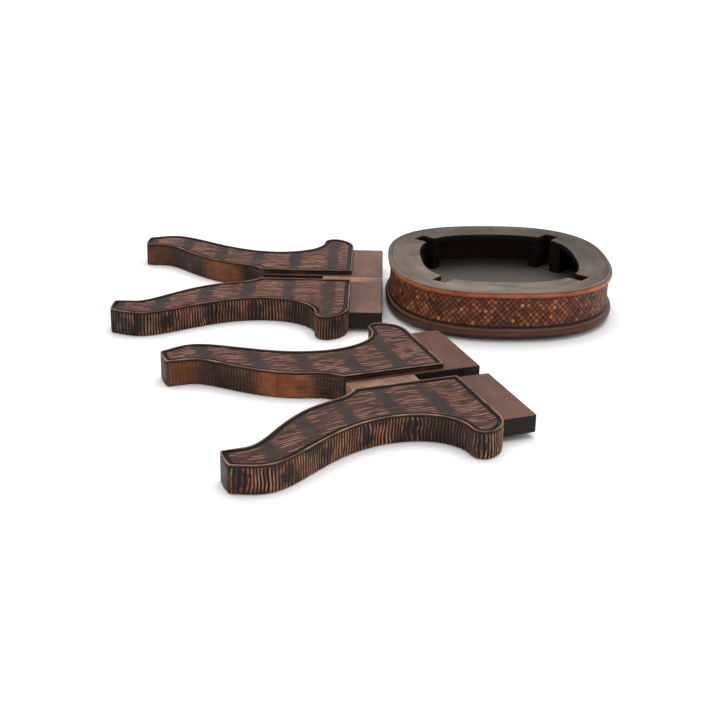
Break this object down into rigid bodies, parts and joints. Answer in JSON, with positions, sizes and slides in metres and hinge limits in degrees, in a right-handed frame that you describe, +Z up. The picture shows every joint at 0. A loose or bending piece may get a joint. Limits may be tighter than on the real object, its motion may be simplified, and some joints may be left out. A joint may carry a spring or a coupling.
{
  "type": "knock-down stool",
  "caption": "Take-apart carved wood stool laid out flat: round-cornered hollow top upside down beside two slotted leg frames that cross and drop into notches in its rim.",
  "frame": {"origin": "centre of the top's seat face, which lies on the floor", "axes": "+Z up, out of the hollow of the upside-down top; +Y across the laid-out set, from the near leg frame to the top"},
  "size_m": [0.8516, 0.9729, 0.084],
  "materials": {
    "seat_wood": "satin, dark red-brown",
    "band_wood": "carved lattice, waxed, orange to dark brown",
    "rim_wood": "matt, grey-brown, unwaxed",
    "bead_wood": "polished, orange-red",
    "guide_wood": "matt, near black",
    "leg_wood": "carved and burnt, waxed, dark red-brown",
    "bridge_wood": "satin, mid brown",
    "dowel_wood": "bare"
  },
  "bodies": {
    "top": {"seat_board": "seat_wood", "apron_1": "band_wood", "apron_2": "band_wood", "apron_3": "band_wood", "apron_4": "band_wood", "rim_segment_1": "rim_wood", "rim_segment_2": "rim_wood", "rim_segment_3": "rim_wood", "rim_segment_4": "rim_wood", "rim_bead": "bead_wood", "guide_block_1": "guide_wood", "guide_block_2": "guide_wood", "guide_block_3": "guide_wood", "guide_block_4": "guide_wood", "guide_block_5": "guide_wood", "guide_block_6": "guide_wood", "guide_block_7": "guide_wood", "guide_block_8": "guide_wood"},
    "leg_frame_a": {"leg_a_far": "leg_wood", "leg_a_near": "leg_wood", "bridge_a": "bridge_wood", "dowel_a_1": "dowel_wood", "dowel_a_2": "dowel_wood"},
    "leg_frame_b": {"leg_b_far": "leg_wood", "leg_b_near": "leg_wood", "bridge_b": "bridge_wood", "dowel_b_1": "dowel_wood", "dowel_b_2": "dowel_wood"}
  },
  "joints": [
    {"name": "leg_frame_a_lift", "type": "slide", "parent": "top", "child": "leg_frame_a", "axis": [0, 0, 1], "range_m": [0, 0.12]},
    {"name": "leg_frame_b_lift", "type": "slide", "parent": "top", "child": "leg_frame_b", "axis": [0, 0, 1], "range_m": [0, 0.12]}
  ]
}
